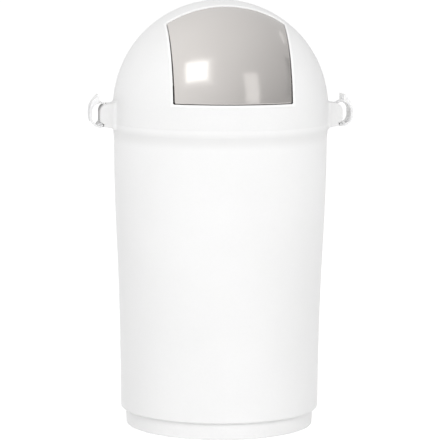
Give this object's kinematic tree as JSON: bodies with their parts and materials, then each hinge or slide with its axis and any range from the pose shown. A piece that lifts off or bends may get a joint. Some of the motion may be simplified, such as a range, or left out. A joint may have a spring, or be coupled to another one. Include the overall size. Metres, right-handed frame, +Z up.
{
  "type": "waste bin",
  "caption": "Round free-standing waste bin with a domed lid, a push flap in the dome and a swing-out latch clip on each side.",
  "frame": {"origin": "middle of the foot ring's underside, on the floor", "axes": "+Z up, -Y towards the front where the flap is, +X to the right seen from the front"},
  "size_m": [0.4714, 0.3842, 0.7615],
  "materials": {
    "white_plastic": "satin",
    "silver_plastic": "glossy, silver grey",
    "bright_steel": "drawn",
    "spring_steel": "wound wire",
    "natural_nylon": "matt",
    "black_rubber": "matt"
  },
  "bodies": {
    "tub": {"tub": "white_plastic", "latch_pin_left": "bright_steel", "latch_pin_right": "bright_steel"},
    "lid": {"dome_lid": "white_plastic", "flap_axle": "bright_steel", "axle_clip_left": "spring_steel", "axle_clip_right": "spring_steel", "return_spring_left": "spring_steel", "return_spring_right": "spring_steel"},
    "flap": {"push_flap": "silver_plastic", "flap_bush_left": "natural_nylon", "flap_bush_right": "natural_nylon", "flap_bumper_left": "black_rubber", "flap_bumper_right": "black_rubber"},
    "clip_left": {"latch_clip_left": "white_plastic"},
    "clip_right": {"latch_clip_right": "white_plastic"}
  },
  "joints": [
    {"name": "lid_lift", "type": "slide", "parent": "tub", "child": "lid", "axis": [0, 0, 1], "range_m": [0, 0.26]},
    {"name": "flap_swing", "type": "hinge", "parent": "lid", "child": "flap", "pos_m": [0, -0.036, 0.6995], "axis": [1, 0, 0], "range_deg": [0, 48], "stiffness_Nm_per_rad": 0.3, "springref_deg": -51.57, "deforming": ["return_spring_left", "return_spring_right"]},
    {"name": "clip_left_swing", "type": "hinge", "parent": "tub", "child": "clip_left", "pos_m": [-0.217, 0, 0.5405], "axis": [0, -1, 0], "range_deg": [0, 110]},
    {"name": "clip_right_swing", "type": "hinge", "parent": "tub", "child": "clip_right", "pos_m": [0.217, 0, 0.5405], "axis": [0, 1, 0], "range_deg": [0, 110]}
  ]
}
